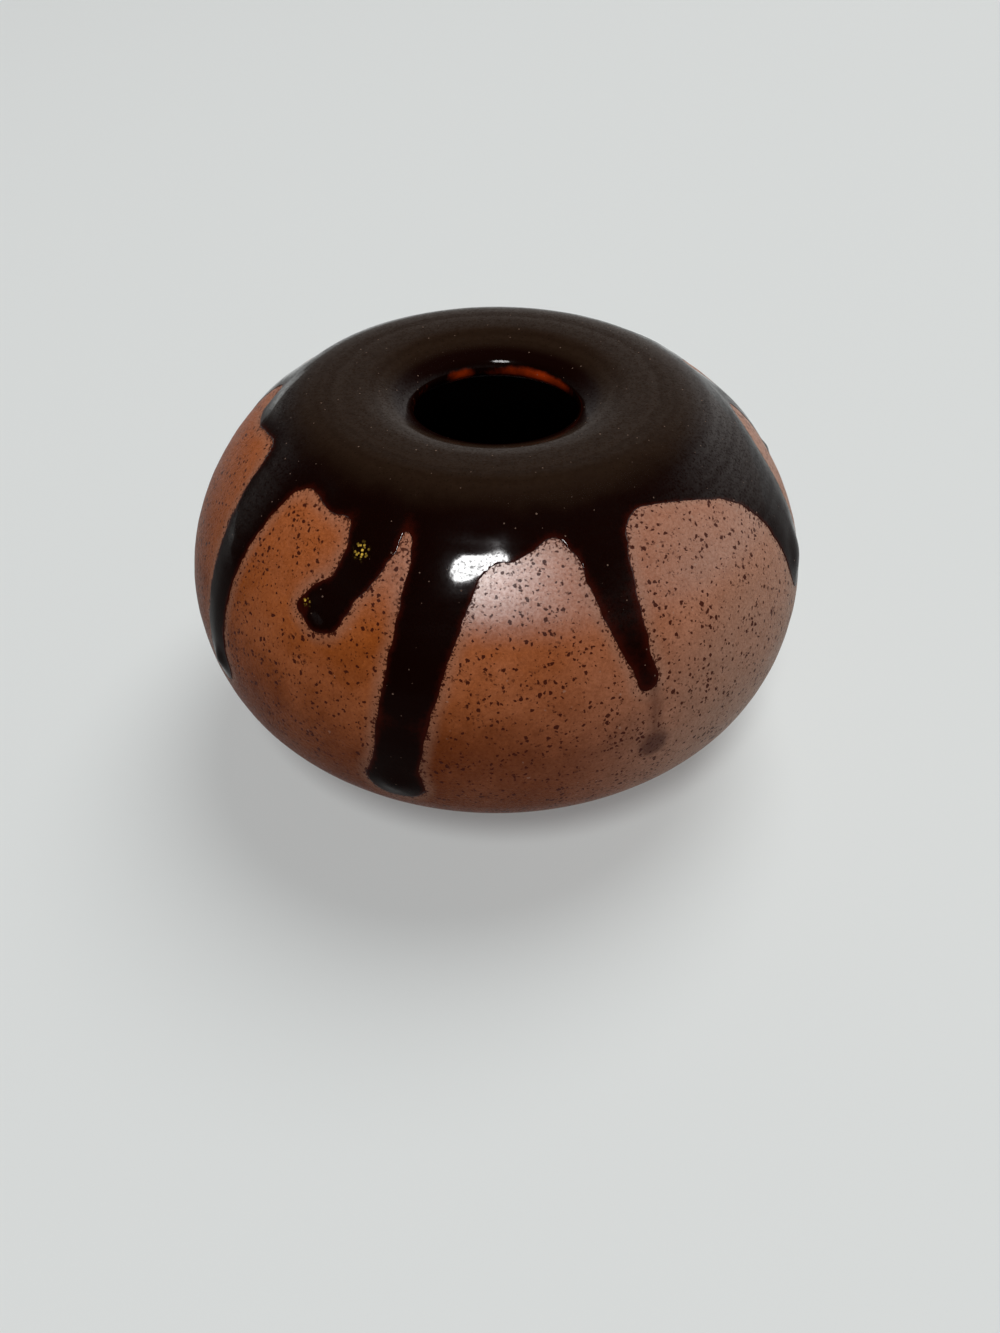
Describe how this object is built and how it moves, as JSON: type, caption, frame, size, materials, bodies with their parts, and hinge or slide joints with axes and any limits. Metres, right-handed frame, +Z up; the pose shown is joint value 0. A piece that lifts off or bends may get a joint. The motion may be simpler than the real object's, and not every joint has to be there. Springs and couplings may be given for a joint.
{
  "type": "weed pot",
  "caption": "Squat wheel-thrown stoneware weed pot with a sunken, rolled-in mouth for dried stems, a speckled glaze and a dark poured glaze that runs down its sides.",
  "frame": {"origin": "centre of the foot, on the surface that the pot stands on", "axes": "+Z up along the pot's turning axis, -Y towards the side with the long front run"},
  "size_m": [0.104, 0.104, 0.0626],
  "materials": {
    "stoneware": "bare fired clay, matt, fine grog",
    "speckled_glaze": "semi-gloss pinkish tan with iron specks",
    "dark_glaze": "glossy dark brown, amber where thin",
    "liner_glaze": "glossy dark brown"
  },
  "bodies": {
    "root": {"stoneware_body": "stoneware", "speckled_glaze": "speckled_glaze", "dark_glaze": "dark_glaze", "liner_glaze": "liner_glaze"}
  },
  "joints": []
}
